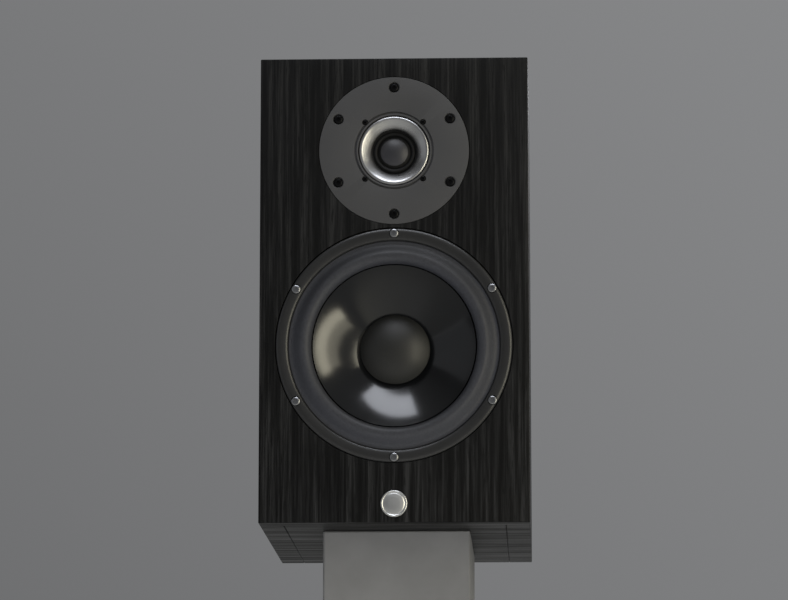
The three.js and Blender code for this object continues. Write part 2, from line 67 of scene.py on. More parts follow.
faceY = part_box("front_baffle")[0].y
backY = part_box("back_panel")[1].y
woofer = (middle("woofer_frame").x, faceY, middle("woofer_frame").z)
tweeter = (middle("tweeter_faceplate").x, faceY, middle("tweeter_faceplate").z)
badgePlace = (middle("badge").x, faceY, middle("badge").z)
portPlace = (middle("port_tube").x, backY, middle("port_tube").z)
platePlace = (middle("terminal_plate").x, backY, middle("terminal_plate").z)

camera = {
    "azimuth": 2.2,      # degrees to the right of straight on
    "elevation": -10.0,  # degrees: the speaker is seen from a little below
    "distance": 3.0,
    "viewHeight": 0.445,  # metres at the speaker's face that fill the picture's height
    "pictureShape": 788 / 600,  # its width over its height
    "sensor": 36.0,
    "aim": (0.0, -0.135, 0.166),
}
# Place, target and size in metres, radiance, colour, and what it lights: "gloss" is seen only as a
# reflection, "matt" lights without a highlight, "all" does both.
lights = {
    "overheadSoftbox": ((0.08, -0.64, 1.40), (0.0, -0.135, 0.13), (0.98, 0.38), 7.4, "#f2f6ff",
                        "gloss"),
    "frontSoftbox": ((-0.1, -1.7, 1.75), (0.0, -0.135, 0.17), (0.9, 0.5), 0.9, "#f2f5fc", "all"),
    "tallWindow": ((1.48, -1.54, 0.28), (0.0, -0.135, 0.14), (0.27, 1.70), 7.8, "#faf3da", "all"),
    "dimPane": ((1.66, -1.34, 0.28), (0.0, -0.135, 0.14), (0.24, 1.60), 2.9, "#faf3da", "all"),
    "slimWindow": ((1.91, -0.88, 0.34), (0.0, -0.135, 0.14), (0.09, 2.20), 7.0, "#faf3da", "all"),
    "leftPanel": ((-2.0, -1.0, 0.6), (0.0, -0.135, 0.2), (1.7, 1.5), 0.28, "#eef1f6", "all"),
    "rearFill": ((0.9, 2.4, 1.5), (0.0, 0.1, 0.17), (1.6, 1.2), 2.8, "#f4f6fa", "all"),
    "lowFill": ((0.0, -0.70, -0.43), (0.0, -0.135, 0.10), (1.2, 0.3), 3.2, "#f4f5f8", "matt"),
    "floorWash": ((0.0, -1.0, -0.70), (0.0, -1.0, -1.5), (2.4, 1.4), 0.20, "#f4f6fa", "all"),
}
studio = {
    "floorHeight": -1.1, "floorRadius": 14.0, "floorSides": 96,
    "floorColours": ("#dcdcda", "#e2e2e0"), "floorGlow": 0.16,
    "plinth": ((-55, -85, -1100), (55, 85, 0)), "plinthEdge": 1.5,
    "plinthColours": ("#6c6c6c", "#747474"),
    "airColour": "#c4c5c7", "airStrength": 0.36,
    # The air brightens gently upwards and to the right: direction . slope over a span sets a gain.
    "airSlope": (1.4, 0, 1.2), "airSpan": (-0.2, 0.6), "airGain": (0.68, 1.4),
}


def linear(hexColour):  # sRGB hex to linear light, by the standard curve
    parts = [int(hexColour[i:i + 2], 16) / 255 for i in (1, 3, 5)]
    light = [c / 12.92 if c <= 0.04045 else ((c + 0.055) / 1.055) ** 2.4 for c in parts]
    return (*light, 1.0)


def connect(tree, node, links):  # a source is a socket, or a node whose first output is meant
    for key, source in links.items():
        socket = source.outputs[0] if hasattr(source, "outputs") else source
        tree.links.new(socket, node.inputs[key])


def addNode(tree, kind, values=(), links=(), stops=(), **settings):
    made = tree.nodes.new("ShaderNode" + kind)
    for key, value in settings.items():
        setattr(made, key, value)
    for key, value in dict(values).items():
        made.inputs[key].default_value = value
    while stops and len(made.color_ramp.elements) < len(stops):
        made.color_ramp.elements.new(0.5)
    for place, (position, colour) in enumerate(stops):
        made.color_ramp.elements[place].position = position
        made.color_ramp.elements[place].color = linear(colour)
    connect(tree, made, dict(links))
    return made


def ranges(span, output):  # the values of a Map Range that carries the span to the output
    return dict(zip(("From Min", "From Max", "To Min", "To Max"), (*span, *output)))


def aimAt(thing, place, target):  # its -Z points at the target and its Y stays up
    thing.location = place
    thing.rotation_euler = (Vector(target) - Vector(place)).to_track_quat("-Z", "Y").to_euler()


def makeCamera():  # focal length = sensor x distance / the width seen at that distance
    azimuth, elevation = math.radians(camera["azimuth"]), math.radians(camera["elevation"])
    away = Vector((math.sin(azimuth) * math.cos(elevation),
                   -math.cos(azimuth) * math.cos(elevation), math.sin(elevation)))
    lens = bpy.data.cameras.new("camera")
    lens.sensor_width = camera["sensor"]
    viewWidth = camera["viewHeight"] * camera["pictureShape"]
    lens.lens = camera["sensor"] * camera["distance"] / viewWidth
    shot = bpy.data.objects.new("camera", lens)
    bpy.context.scene.collection.objects.link(shot)
    bpy.context.scene.camera = shot
    aimAt(shot, Vector(camera["aim"]) + away * camera["distance"], camera["aim"])


def makeLights():
    for name, (place, target, (width, height), radiance, colour, litBy) in lights.items():
        lamp = bpy.data.lights.new(name, "AREA")
        lamp.shape = "RECTANGLE"
        lamp.size, lamp.size_y = width, height
        lamp.energy = radiance * math.pi * width * height  # watts = radiance x pi x area
        lamp.color = linear(colour)[:3]
        holder = bpy.data.objects.new(name, lamp)
        bpy.context.scene.collection.objects.link(holder)
        aimAt(holder, place, target)
        holder.visible_diffuse = litBy != "gloss"
        holder.visible_glossy = litBy != "matt"
    world = bpy.data.worlds.new("studioAir")
    world.use_nodes = True
    tree = world.node_tree
    air = tree.nodes["Background"]
    air.inputs["Color"].default_value = linear(studio["airColour"])
    way = addNode(tree, "TexCoord").outputs["Generated"]
    slope = addNode(tree, "VectorMath", {1: studio["airSlope"]}, {0: way},
                    operation="DOT_PRODUCT")
    strengths = [gain * studio["airStrength"] for gain in studio["airGain"]]
    glow = addNode(tree, "MapRange", ranges(studio["airSpan"], strengths),
                   {"Value": slope.outputs["Value"]})
    connect(tree, air, {"Strength": glow})
    bpy.context.scene.world = world
    bpy.context.scene.view_settings.view_transform = "Standard"


makeCamera()
makeLights()
print("camera and lights placed")


def newMaterial(name, colour, roughness, metallic=0.0, **sockets):
    made = bpy.data.materials.new(name)
    made.use_nodes = True
    shader = made.node_tree.nodes["Principled BSDF"]
    shader.inputs["Base Color"].default_value = linear(colour)
    shader.inputs["Roughness"].default_value = roughness
    shader.inputs["Metallic"].default_value = metallic
    for key, value in sockets.items():
        shader.inputs[key.replace("_", " ")].default_value = value
    place = addNode(made.node_tree, "TexCoord").outputs["Object"]
    return made, made.node_tree, shader, place


veneerGrain = {  # mm across and along the grain, then how much each layer counts
    "board": (34, 900, 0.12), "streak": (5.4, 190, 0.52), "fibre": (1.4, 60, 0.36),
    "pore": (0.8, 14, 0),
    "tones": ((0.41, "#050505"), (0.47, "#0c0c0c"), (0.53, "#1a1a1a"), (0.60, "#2b2b2b")),
    "poreSpan": (0.37, 0.45), "poreTone": (0.45, 1.0),  # noise below the span is a dark pore
    "dullSpan": (0.42, 0.58), "roughness": (0.62, 0.40),  # dark wood is duller than light
    "relief": (0.10, 0.06), "specular": 0.15,  # mm of bump from the grain and from the pores
}


def ashVeneer(name, along):
    # Ash, sliced, stained black and lacquered satin: long soft streaks of lighter black from the
    # annual rings, and fine dull pores that lie along the grain. Noise is read in coordinates
    # divided by the size of a streak across and along the grain, and the layers are summed.
    v = veneerGrain
    made, tree, shader, place = newMaterial(name, v["tones"][1][1], v["roughness"][0],
                                            Specular_IOR_Level=v["specular"])
    read, figure = {}, None
    for layer in ("board", "streak", "fibre", "pore"):
        across, length, share = v[layer]
        scale = [1 / ((length if axis == along else across) * mm) for axis in "XYZ"]
        stretched = addNode(tree, "Mapping", {"Scale": scale}, {"Vector": place})
        read[layer] = addNode(tree, "TexNoise", {"Scale": 1.0, "Detail": 3.0, "Roughness": 0.55},
                              {"Vector": stretched})
        if share:
            figure = addNode(tree, "Math", {1: share, 2: 0.0},
                             {0: read[layer], 2: figure} if figure else {0: read[layer]},
                             operation="MULTIPLY_ADD")
    tone = addNode(tree, "ValToRGB", links={"Fac": figure}, stops=v["tones"])
    pore = addNode(tree, "MapRange", ranges(v["poreSpan"], v["poreTone"]), {"Value": read["pore"]})
    stained = addNode(tree, "Mix", {0: 1.0}, {6: tone, 7: pore}, data_type="RGBA",
                      blend_type="MULTIPLY")
    dull = addNode(tree, "MapRange", ranges(v["dullSpan"], v["roughness"]), {"Value": figure})
    grain = addNode(tree, "Bump", {"Distance": v["relief"][0] * mm, "Strength": 0.6},
                    {"Height": figure})
    pits = addNode(tree, "Bump", {"Distance": v["relief"][1] * mm, "Strength": 0.6},
                   {"Height": pore, "Normal": grain})
    connect(tree, shader, {"Base Color": stained.outputs[2], "Roughness": dull, "Normal": pits})
    return made


noiseSpan = (0.3, 0.7)  # the part of a noise's range that its values really fill
smudgeSize = 14  # mm: the patches of handling marks on turned metal


def tinted(tree, shader, fine, broad, colours, roughness, relief, strength):
    # The fine noise mixes the two colours and raises the bump, and the broad one carries the
    # roughness to and fro.
    tint = addNode(tree, "ValToRGB", links={"Fac": fine}, stops=tuple(zip(noiseSpan, colours)))
    drift = addNode(tree, "MapRange", ranges(noiseSpan, roughness), {"Value": broad})
    connect(tree, shader, {"Base Color": tint, "Roughness": drift})
    if relief:
        bump = addNode(tree, "Bump", {"Distance": relief * mm, "Strength": strength},
                       {"Height": fine})
        connect(tree, shader, {"Normal": bump})


def grained(name, colours, grain, roughness, relief=0.0, patch=18.0, metallic=0.0, **sockets):
    # Two close colours in a grain of the given size, a roughness that drifts over larger patches,
    # and a bump as deep as the grain's relief: noise read at 1/grain and at 1/patch.
    made, tree, shader, place = newMaterial(name, colours[0], roughness[0], metallic, **sockets)
    fine = addNode(tree, "TexNoise", {"Scale": 1 / (grain * mm), "Detail": 3.0, "Roughness": 0.6},
                   {"Vector": place})
    broad = addNode(tree, "TexNoise", {"Scale": 1 / (patch * mm), "Detail": 3.0}, {"Vector": place})
    tinted(tree, shader, fine, broad, colours, roughness, relief, 0.8)
    return made


def latheCut(name, colours, centre, pitch, roughness, relief, metallic=1.0, **sockets):
    # Turned on a lathe: hair-fine rings about an axis along Y, noise read along the radius.
    made, tree, shader, place = newMaterial(name, colours[0], roughness[0], metallic, **sockets)
    centred = addNode(tree, "Mapping", {"Location": (-centre[0], 0, -centre[2])}, {"Vector": place})
    flat = addNode(tree, "VectorMath", {1: (1, 0, 1)}, {0: centred}, operation="MULTIPLY")
    radius = addNode(tree, "VectorMath", links={0: flat}, operation="LENGTH").outputs["Value"]
    rings = addNode(tree, "TexNoise", {"Scale": 1 / (pitch * mm), "Detail": 3.0}, {"W": radius},
                    noise_dimensions="1D")
    smudge = addNode(tree, "TexNoise", {"Scale": 1 / (smudgeSize * mm), "Detail": 3.0},
                     {"Vector": place})
    tinted(tree, shader, rings, smudge, colours, roughness, relief, 0.6)
    return made


def woven(name, colours, thread, roughness, relief=0.08, **sockets):
    # Plain weave: one set of threads across and one up, the product of two sines of X and of Z
    # with a period of two threads.
    made, tree, shader, place = newMaterial(name, colours[0], roughness, **sockets)
    split = addNode(tree, "SeparateXYZ", links={"Vector": place})
    waves = []
    for direction in "XZ":
        turns = addNode(tree, "Math", {1: math.pi / (thread * mm)}, {0: split.outputs[direction]},
                        operation="MULTIPLY")
        waves.append(addNode(tree, "Math", links={0: turns}, operation="SINE"))
    weave = addNode(tree, "Math", links={0: waves[0], 1: waves[1]}, operation="MULTIPLY")
    height = addNode(tree, "MapRange", {"From Min": -1.0}, {"Value": weave})
    tint = addNode(tree, "ValToRGB", links={"Fac": height},
                   stops=((0.2, colours[0]), (0.8, colours[1])))
    bump = addNode(tree, "Bump", {"Distance": relief * mm, "Strength": 0.5}, {"Height": height})
    connect(tree, shader, {"Base Color": tint, "Normal": bump})
    return made


finish = {
    "veneerUp": ashVeneer("blackStainedAshVeneer", "Z"),
    "veneerAcross": ashVeneer("blackStainedAshVeneerAcross", "X"),
    # Medium-density fibreboard, sawn: a dull brown felt of fine fibres.
    "fibreboard": grained("sawnFibreboard", ("#6d5740", "#8a7052"), 1.2, (0.85, 0.95), 0.05),
    # Bonded polyester wadding: matt and woolly, pale at its edges.
    "wadding": grained("polyesterWadding", ("#a9aba6", "#d0d2cc"), 2.2, (0.95, 1.0), 0.9,
                       Sheen_Weight=0.4),
    # Die-cast aluminium, texture painted black: tiny bumps that break up the highlights.
    "castFrame": grained("blackPaintedCastAluminium", ("#1d1d1d", "#272727"), 0.7, (0.28, 0.36),
                         0.02),
    # Butyl rubber, moulded: satin with a soft grey bloom, no sparkle.
    "rubber": grained("mouldedButylRubber", ("#303135", "#3a3b40"), 1.6, (0.48, 0.56), 0.008,
                      IOR=1.52, Specular_IOR_Level=0.3),
    # Foam rubber, cut from sheet: dull and porous.
    "foamSeal": grained("closedCellFoamSeal", ("#151515", "#232323"), 0.8, (0.85, 0.95), 0.1),
    # Polypropylene, injection moulded in a polished tool: near black with a wet gloss.
    "cone": grained("glossMouldedPolypropylene", ("#060708", "#08090b"), 9.0, (0.12, 0.16), 0.0,
                    30.0, IOR=1.49),
    # Fibre, pressed and matt coated: an even soft dark grey.
    "dustCap": grained("mattCoatedPressedFibre", ("#191917", "#222220"), 0.8, (0.42, 0.5), 0.02),
    # Aluminium, bead blasted and anodised dark: flat metal grey without a clear reflection.
    "faceplate": grained("beadBlastedAnodisedAluminium", ("#484849", "#545455"), 0.6, (0.5, 0.58),
                         0.015, 24.0, metallic=0.5),
    # Aluminium, turned and polished: a bright mirror with the faintest rings.
    "polishedRing": latheCut("polishedTurnedAluminium", ("#a6a6a6", "#b2b2b2"), tweeter, 0.3,
                             (0.26, 0.33), 0.003),
    # Silk, woven and coated: matt dark cloth with a soft sheen.
    "silk": woven("coatedSilk", ("#1f1f22", "#303036"), 0.5, 0.42, 0.05, Sheen_Weight=0.2,
                  Sheen_Roughness=0.5),
    # Silk, impregnated with black damping compound: dark and dull, and made near black as painted
    # shade for the shaded throat between the flare and the dome.
    "dampedSilkAndPaintedShade": woven("dampedSilkAndPaintedShade", ("#070707", "#0e0e0e"), 0.5, 0.6, 0.04,
                        Specular_IOR_Level=0.25),
    # Copper wire, enamelled: warm red-brown metal under a clear coat.
    "copper": grained("enamelledCopperWire", ("#8d4a22", "#a85c2c"), 0.8, (0.22, 0.32), 0.0, 6.0,
                      metallic=1.0, Coat_Weight=0.6),
    # Mild steel, turned and zinc plated: grey with soft rings.
    "steel": latheCut("zincPlatedTurnedSteel", ("#85878a", "#a5a7a9"), woofer, 0.6, (0.3, 0.42),
                      0.01),
    # Ferrite, sintered and ground: charcoal, dull, faintly pitted.
    "ferrite": grained("groundSinteredFerrite", ("#1f2022", "#303134"), 1.4, (0.6, 0.78), 0.04),
    # Cotton, woven and stiffened with resin: a yellow-brown weave.
    "spider": woven("resinTreatedCotton", ("#8f6a2c", "#b98d43"), 1.0, 0.75),
    # Steel, black oxide: dark and oily.
    "blackScrew": grained("blackOxideSteel", ("#0d0d0e", "#161617"), 0.5, (0.35, 0.45), 0.004, 4.0,
                          metallic=0.8),
    # Steel, nickel plated: a grey shine with light handling marks.
    "brightScrew": grained("nickelPlatedSteel", ("#7f8082", "#9c9d9f"), 0.5, (0.28, 0.38), 0.004,
                           4.0, metallic=1.0),
    # Aluminium, stamped and satin finished: a soft bright spot.
    "badge": latheCut("satinStampedAluminium", ("#d2d2d0", "#e4e4e2"), badgePlace, 0.4,
                      (0.3, 0.38), 0.005),
    # ABS, injection moulded in a spark-textured tool: satin black.
    "plastic": grained("sparkTexturedAbs", ("#161617", "#1e1e1f"), 0.5, (0.42, 0.55), 0.02),
    # Polycarbonate, moulded in colour: satin gloss.
    "redKnob": grained("redMouldedPolycarbonate", ("#8e1212", "#a01818"), 2.0, (0.2, 0.3), 0.0, 5.0,
                       Coat_Weight=0.3),
    "blackKnob": grained("blackMouldedPolycarbonate", ("#101011", "#18181a"), 2.0, (0.2, 0.3), 0.0,
                         5.0, Coat_Weight=0.3),
    # Brass, turned and gold flashed: warm yellow metal.
    "brass": grained("goldFlashedBrass", ("#c79a45", "#dcb45e"), 0.6, (0.16, 0.26), 0.003, 5.0,
                     metallic=1.0),
    # Glass cloth in epoxy under a green mask: glossy green.
    "board": grained("greenMaskedGlassEpoxy", ("#14442a", "#1a5233"), 1.2, (0.25, 0.35), 0.01,
                     Coat_Weight=0.4),
    # Cement-filled ceramic: chalky white.
    "ceramic": grained("whiteCementCeramic", ("#cfcabc", "#e0dccf"), 0.9, (0.8, 0.92), 0.05),
    # Polyester film, wound tight: glossy yellow.
    "film": grained("yellowPolyesterFilm", ("#c49a1c", "#d4ab2c"), 5.0, (0.22, 0.34), 0.01, 12.0),
    # PVC, extruded: soft satin plastic.
    "redCable": grained("redPvcInsulation", ("#8e1717", "#a32020"), 2.0, (0.4, 0.5)),
    "blackCable": grained("blackPvcInsulation", ("#131313", "#1d1d1d"), 2.0, (0.4, 0.5)),
    # Painted board for the floor and the plinth: matt, pale below and mid grey above.
    "floor": grained("paleMattPaint", studio["floorColours"], 60, (0.8, 0.9),
                     Emission_Color=linear(studio["floorColours"][0]),
                     Emission_Strength=studio["floorGlow"]),
    "plinth": grained("greyMattPaint", studio["plinthColours"], 30, (0.7, 0.8)),
}
print("materials made:", len(finish))

axes = {  # across, up and along for a part whose axis lies along the named direction
    "X": ((0, 1, 0), (0, 0, 1), (1, 0, 0)),
    "Y": ((1, 0, 0), (0, 0, 1), (0, 1, 0)),
    "Z": ((1, 0, 0), (0, 1, 0), (0, 0, 1)),
}


def rounded(profile, radius, closed=True, steps=3):  # the dictionaries below call the radius soft
    # Each corner becomes a parabola from `radius` before it to `radius` after it, or less where
    # an edge is short: (1-t)^2 start + 2t(1-t) corner + t^2 end.
    points = np.asarray(profile, float)
    ways = np.stack([np.roll(points, 1, 0), np.roll(points, -1, 0)]) - points
    lengths = np.maximum(np.linalg.norm(ways, axis=2, keepdims=True), 1e-9)
    reach = np.minimum(radius, 0.45 * lengths)
    if not closed:
        reach[:, [0, -1]] = 0
    start, end = (points + ways / lengths * reach)[:, :, None]
    t = np.linspace(0, 1, steps + 1)[None, :, None]
    return ((1 - t) ** 2 * start + 2 * t * (1 - t) * points[:, None] + t ** 2 * end).reshape(-1, 2)


def arc(centre, radius, fromAngle, toAngle, steps):
    # Circle in the (radius, depth) plane: 90 degrees points towards the listener.
    angle = np.radians(np.linspace(fromAngle, toAngle, steps + 1))
    return np.column_stack([centre[0] + radius * np.cos(angle), centre[1] - radius * np.sin(angle)])


def makeMesh(name, grid, look, wrapRows=True, wrapColumns=False, capped=False, sharp=35):
    # Quads between neighbouring points of a rows x columns grid, wrapped where it closes on itself,
    # with a flat face over its first and its last row where it is capped.
    rows, columns = grid.shape[:2]
    i = np.arange(rows if wrapRows else rows - 1)[:, None]
    j = np.arange(columns if wrapColumns else columns - 1)[None, :]
    below, beside = (i + 1) % rows * columns, (j + 1) % columns
    faces = np.stack([i * columns + j, i * columns + beside, below + beside, below + j], -1)
    faces = faces.reshape(-1, 4).tolist()
    if capped:
        faces += [list(range(columns)), list(range((rows - 1) * columns, rows * columns))]
    mesh = bpy.data.meshes.new(name)
    mesh.from_pydata(grid.reshape(-1, 3), [], faces)
    work = bmesh.new()
    work.from_mesh(mesh)
    bmesh.ops.remove_doubles(work, verts=work.verts, dist=1e-6)
    bmesh.ops.dissolve_degenerate(work, edges=work.edges, dist=1e-7)
    bmesh.ops.recalc_face_normals(work, faces=work.faces)
    work.to_mesh(mesh)
    work.free()
    return placed(name, mesh, look, sharp)


def placed(name, mesh, look, sharp):  # a finished mesh becomes a piece, smooth up to an angle
    mesh.shade_smooth()
    mesh.set_sharp_from_angle(angle=math.radians(sharp))
    mesh.materials.append(finish[look])
    piece = bpy.data.objects.new(name, mesh)
    bpy.context.scene.collection.objects.link(piece)
    return piece


def turned(name, profile, centre, look, segments, node=None, way="Y", shape=None, sharp=35):
    # point(a, k) = centre + radius_k (cos a across + sin a up) + depth_k along. shape(a, radius,
    # depth) may change the radius, for flutes, sockets and threads. It may stand for a CAD node.
    across, up, along = (np.array(v, float) for v in axes[way])
    radius, depth = np.asarray(profile, float).T
    angle = np.linspace(0, 2 * np.pi, segments, endpoint=False)[:, None]
    radius = np.repeat(radius[None], segments, 0)
    if shape:
        radius = shape(angle, radius, depth[None])
    grid = (np.array(centre) + radius[..., None] * mm
            * (np.cos(angle)[..., None] * across + np.sin(angle)[..., None] * up)
            + depth[None, :, None] * mm * along)
    piece = makeMesh(name, grid, look, True, bool(radius[0, 0] > 1e-9), sharp=sharp)
    if node:
        standsFor(piece, node)
    return piece


def roundedOutline(width, height, radius, steps=8):
    # Four quarter circles about the corners' centres, in order round the outline.
    angle = np.radians(np.arange(4)[:, None] * 90 + np.linspace(0, 90, steps + 1)[None])
    side = np.array([[1, 1], [-1, 1], [-1, -1], [1, -1]])[:, None] \
        * (np.array([width, height]) / 2 - radius)
    return (side + radius * np.stack([np.cos(angle), np.sin(angle)], -1)).reshape(-1, 2)


def lofted(name, size, radius, profile, centre, look, way="Y", sharp=30):
    # A rounded rectangle carried through (inset, depth) steps, its corners tightening with it.
    across, up, along = (np.array(v, float) for v in axes[way])
    rings = []
    for inset, depth in profile:
        outline = roundedOutline(size[0] - 2 * inset, size[1] - 2 * inset, max(radius - inset, 0.3))
        rings.append(np.array(centre) + mm * (outline[:, :1] * across + outline[:, 1:] * up
                                              + depth * along))
    return makeMesh(name, np.stack(rings), look, False, True, capped=True, sharp=sharp)


def block(name, low, high, look, edge=0.6, ends=None, sharp=30):
    # Eight corners of a box, with its edges rounded by a Bevel, and its own look on the ends.
    outline = ((0, 0), (1, 0), (1, 1), (0, 1))
    corners = [((low[0], high[0])[i], (low[1], high[1])[j], z) for z in (low[2], high[2])
               for i, j in outline]
    faces = [[3, 2, 1, 0], [4, 5, 6, 7], [0, 1, 5, 4], [1, 2, 6, 5], [2, 3, 7, 6], [3, 0, 4, 7]]
    mesh = bpy.data.meshes.new(name)
    mesh.from_pydata(corners, [], faces)
    piece = placed(name, mesh, look, sharp)
    if ends:
        mesh.materials.append(finish[ends])
        for face in mesh.polygons[:2]:  # the bottom and the top
            face.material_index = 1
    bevel = piece.modifiers.new("edge", "BEVEL")
    bevel.width, bevel.segments = edge * mm, 3
    return piece


def cutAway(piece, cutters, sharp=30):
    # Subtracts each cutter, works the modifiers into the mesh and clears the cutters away.
    for cutter in cutters:
        hole = piece.modifiers.new("hole", "BOOLEAN")
        hole.operation, hole.solver, hole.object = "DIFFERENCE", "EXACT", cutter
    graph = bpy.context.evaluated_depsgraph_get()
    mesh = bpy.data.meshes.new_from_object(piece.evaluated_get(graph))
    piece.modifiers.clear()
    piece.data = mesh
    mesh.shade_smooth()
    mesh.set_sharp_from_angle(angle=math.radians(sharp))
    for cutter in cutters:
        bpy.data.objects.remove(cutter)
    return piece


def stepDrill(steps, centre, look, segments=96):
    # A round cutter from (radius, depth) corners, closed on its axis at both ends.
    profile = [(0, steps[0][1]), *steps, (0, steps[-1][1])]
    return turned("drill", profile, centre, look, segments)


def onCircle(centre, circle, degrees):  # a place on the listener's side, counted from the right
    return (centre[0] + circle * mm * math.cos(math.radians(degrees)), centre[1],
            centre[2] + circle * mm * math.sin(math.radians(degrees)))


def standsFor(piece, node, rides=True):
    # The piece takes over from a CAD node: it joins the node's body where it rides, and the node is
    # hidden.
    if rides:
        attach(piece, bodyOf[node])
    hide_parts(node)


def joins(piece, body):  # an extra piece with no CAD node of its own
    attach(piece, body)


def stretches(piece, node, movingBody, centre, inner, outer):
    # A ring glued to the frame outside and to the moving part inside: its CAD node is hidden, it is
    # set in world space and its points are read, and no weights are set. The moving body, the
    # centre and the two radii are not used.
    standsFor(piece, node, rides=False)
    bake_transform(piece)
    points = np.empty(len(piece.data.vertices) * 3)
    piece.data.vertices.foreach_get("co", points)


cabinet = {
    "edge": 0.7, "soft": 0.15, "through": 20, "clear": 2,  # how far a drill reaches each way
    "wooferBore": 80, "wooferRebate": (88.4, 5.4), "tweeterBore": 39, "tweeterRebate": (56.4, 4.0),
    "portHole": 37, "terminalHole": (84, 50), "terminalCorner": 6,
}


def makeCabinet():
    # Six panels: the baffle with two rebated openings, the back with a round and a square one.
    c, veneer, across = cabinet, "veneerUp", "veneerAcross"
    through, clear, soft = c["through"], c["clear"], c["soft"]
    for node in ("left_side", "right_side", "top_panel", "bottom_panel"):
        grain = veneer if "side" in node else across
        standsFor(block(node + "Veneered", *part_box(node), grain, c["edge"], across), node)
    baffle = block("baffleVeneered", *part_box("front_baffle"), veneer, c["edge"], across)
    drills = []
    for centre, bore, (rebate, depth) in ((woofer, c["wooferBore"], c["wooferRebate"]),
                                          (tweeter, c["tweeterBore"], c["tweeterRebate"])):
        steps = [(rebate + soft, -clear), (rebate + soft, 0), (rebate, soft), (rebate, depth),
                 (bore, depth), (bore, through)]
        drills.append(stepDrill(steps, centre, veneer, 192))
    standsFor(cutAway(baffle, drills), "front_baffle")
    rear = block("backPanelVeneered", *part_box("back_panel"), veneer, c["edge"])
    portHole = stepDrill([(c["portHole"], -through), (c["portHole"], clear)], portPlace, veneer)
    terminalHole = lofted("drill", c["terminalHole"], c["terminalCorner"],
                          [(0, -through), (0, clear)], platePlace, veneer)
    standsFor(cutAway(rear, [portHole, terminalHole]), "back_panel")
    brace = bpy.data.objects["brace"]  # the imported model's own piece, with a new look
    brace.data.materials.clear()
    brace.data.materials.append(finish["fibreboard"])


badge = {
    "radius": 10, "rise": 1.8, "soft": 0.5,
    # Shares of the radius and of the rise: a low dome, a groove and a fine rolled rim.
    "section": ((0, 1), (0.45, 0.93), (0.72, 0.7), (0.80, 0.5), (0.84, 0.5), (0.89, 0.72),
                (0.95, 0.66), (1, 0.3), (1, 0), (0, 0)),
}


def makeBadge():
    section = np.array(badge["section"]) * (badge["radius"], -badge["rise"])
    profile = rounded(section, badge["soft"], False)
    turned("badgeDisc", profile, badgePlace, "badge", 96, "badge")


def hexagonal(socket):
    # Inside the socket's radius, the circle becomes a hexagon: r cos 30 / cos(a mod 60 - 30).
    def shape(angle, radius, depth):
        across = math.cos(math.pi / 6) / np.cos(angle % (math.pi / 3) - math.pi / 6)
        return np.where(radius <= socket + 0.01, radius * across, radius)
    return shape


screwHead = {"socketDepth": 1.1, "flat": 0.72, "roll": 0.55, "point": 1.5, "soft": 0.3}


def makeScrew(name, centre, look, head, shank, top, seat, tip, socket):
    # Button head, flat over a share of its radius and rolled at its edge, with a hexagon socket,
    # and a plain shank with a point.
    k = screwHead
    floor = top + k["socketDepth"]
    outside = [(socket, top), (head * k["flat"], top), (head, top + k["roll"]), (head, seat),
               (shank, seat), (shank, tip - k["point"]), (0, tip)]
    outline = np.vstack([[(0, floor), (socket, floor)], rounded(outside, k["soft"], False)])
    return turned(name, outline, centre, look, 60, shape=hexagonal(socket))


def recesses(row, centre, look, segments):  # a cutter at each place of a row of screws
    return [stepDrill(row["recess"], onCircle(centre, row["circle"], degrees), look, segments)
            for degrees in row["angles"]]


def makeScrews(row, name, centre, look, node=None):
    # The row's screws, numbered from one. The small ones round the flared ring have no CAD node.
    for number, degrees in enumerate(row["angles"], 1):
        screw = makeScrew(f"{name}{number}", onCircle(centre, row["circle"], degrees), look,
                          **row["screw"])
        if node:
            standsFor(screw, f"{node}_{number}")
        else:
            joins(screw, bodyOf["tweeter_faceplate"])


sixAngles = (90, 30, -30, -90, -150, 150)
tweeterPlate = {
    "inner": 26.8, "groove": (28.2, 29.6, 1.5), "outer": 56, "thickness": 4, "boss": (38.5, 9),
    "soft": 0.35,
    "screws": {
        "circle": 48.2, "angles": sixAngles,
        "recess": ((4.35, -1), (4.35, 0), (4.0, 0.35), (4.0, 2.2), (1.8, 2.2), (1.8, 6)),
        "screw": {"head": 3.3, "shank": 1.4, "top": 0.6, "seat": 2.2, "tip": 16, "socket": 1.5}},
    "ringScrews": {
        "circle": 30.5, "angles": (45, 135, 225, 315),
        "recess": ((2.5, -1), (2.5, 0), (2.3, 0.2), (2.3, 1.5)),
        "screw": {"head": 2.0, "shank": 1.0, "top": 0.15, "seat": 1.45, "tip": 4, "socket": 0.9}},
}


def makeTweeterPlate():
    p, face = tweeterPlate, "faceplate"
    (low, high, floor), (bossRadius, back) = p["groove"], p["boss"]
    profile = [(p["inner"], 0), (low, 0), (low, floor), (high, floor), (high, 0), (p["outer"], 0),
               (p["outer"], p["thickness"]), (bossRadius, p["thickness"]), (bossRadius, back),
               (p["inner"], back)]
    plate = turned("tweeterPlate", rounded(profile, p["soft"]), tweeter, face, 192)
    drills = recesses(p["screws"], tweeter, face, 48)
    drills += recesses(p["ringScrews"], tweeter, face, 40)
    standsFor(cutAway(plate, drills), "tweeter_faceplate")
    makeScrews(p["screws"], "tweeterScrew", tweeter, "blackScrew", "tweeter_screw")
    makeScrews(p["ringScrews"], "ringScrew", tweeter, "blackScrew")


flare = {  # (radius, depth) from the outer wall over the rolled lip and down to the throat
    "section": ((26.5, 7.9), (26.5, 1.3), (25.5, 0.3), (24.6, 0.0), (23.4, 0.5), (21.6, 1.8),
                (19.8, 3.3), (18.2, 5.0), (17, 6.6), (17, 7.9)),
    "soft": 0.8,
}


def makeTweeterHorn():
    profile = rounded(flare["section"], flare["soft"], False, 5)
    turned("polishedFlare", profile, tweeter, "polishedRing", 192, "tweeter_ring", sharp=60)


